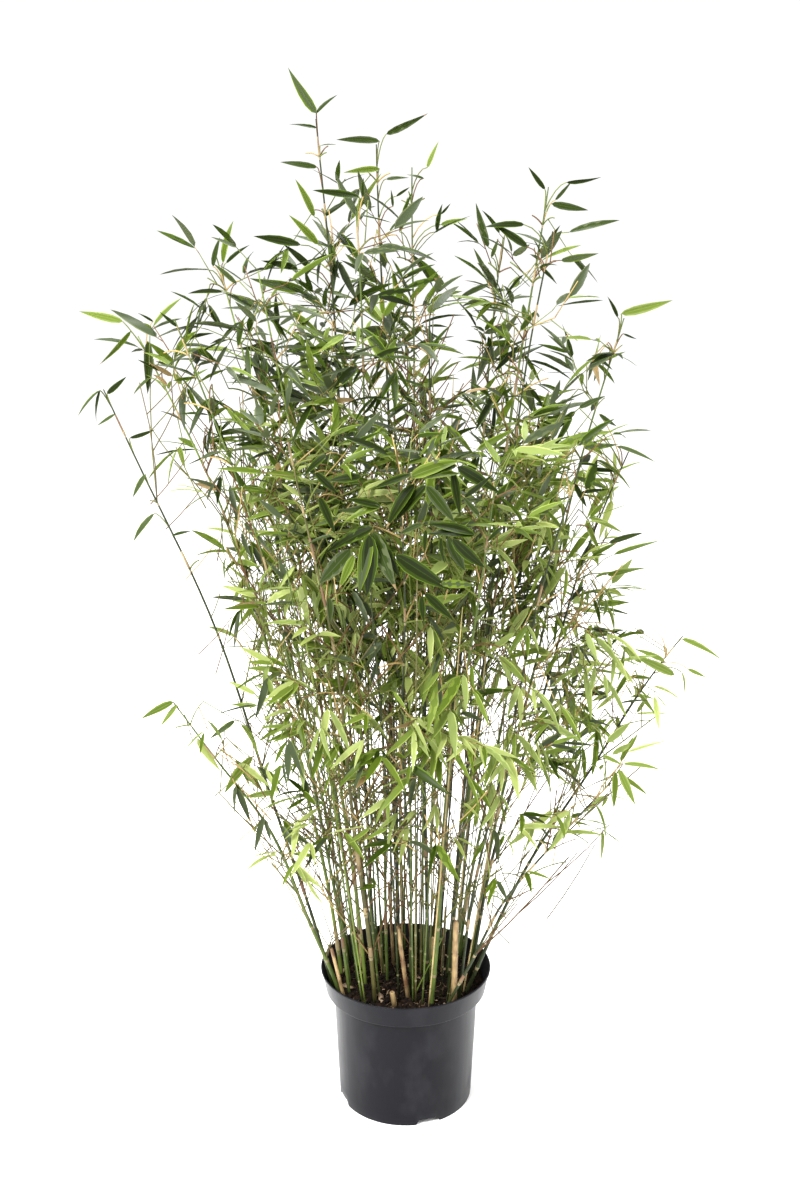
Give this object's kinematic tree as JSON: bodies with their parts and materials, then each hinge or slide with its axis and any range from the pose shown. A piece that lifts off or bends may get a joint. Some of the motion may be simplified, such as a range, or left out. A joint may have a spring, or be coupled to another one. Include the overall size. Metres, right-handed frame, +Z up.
{
  "type": "potted bamboo",
  "caption": "Clump of slender leafy bamboo canes standing in potting mix in a round plastic nursery pot with a wide rim band.",
  "frame": {"origin": "middle of the pot's flat underside", "axes": "+Z up along the canes, -Y towards the front of the plant, +X to its right"},
  "size_m": [1.0198, 0.7523, 1.6336],
  "materials": {
    "pot": "satin",
    "potting_mix": "matte",
    "cane": "satin",
    "dry_sheath": "matte",
    "foliage": "satin"
  },
  "bodies": {
    "root": {"cane_back": "cane", "cane_back_far_left": "cane", "cane_back_far_right": "cane", "cane_back_left": "cane", "cane_back_right": "cane", "cane_centre": "cane", "cane_centre_front": "cane", "cane_centre_right": "cane", "cane_centre_tall": "cane", "cane_front": "cane", "cane_front_left": "cane", "cane_front_right": "cane", "cane_left_front": "cane", "cane_left_inner": "cane", "cane_left_low": "cane", "cane_left_outer": "cane", "cane_left_tall": "cane", "cane_lone": "cane", "cane_right_back": "cane", "cane_right_front": "cane", "cane_right_low": "cane", "cane_right_near": "cane", "cane_right_outer": "cane", "cane_right_short": "cane", "cane_right_side": "cane", "cane_right_tall": "cane", "cane_tallest": "cane", "cut_cane": "dry_sheath", "foliage_back": "foliage", "foliage_back_far_left": "foliage", "foliage_back_far_right": "foliage", "foliage_back_left": "foliage", "foliage_back_right": "foliage", "foliage_centre": "foliage", "foliage_centre_front": "foliage", "foliage_centre_right": "foliage", "foliage_centre_tall": "foliage", "foliage_front": "foliage", "foliage_front_left": "foliage", "foliage_front_right": "foliage", "foliage_left_front": "foliage", "foliage_left_inner": "foliage", "foliage_left_low": "foliage", "foliage_left_outer": "foliage", "foliage_left_tall": "foliage", "foliage_lone": "foliage", "foliage_right_back": "foliage", "foliage_right_front": "foliage", "foliage_right_low": "foliage", "foliage_right_near": "foliage", "foliage_right_outer": "foliage", "foliage_right_short": "foliage", "foliage_right_side": "foliage", "foliage_right_tall": "foliage", "foliage_tallest": "foliage", "pot": "pot", "potting_mix": "potting_mix"}
  },
  "joints": []
}
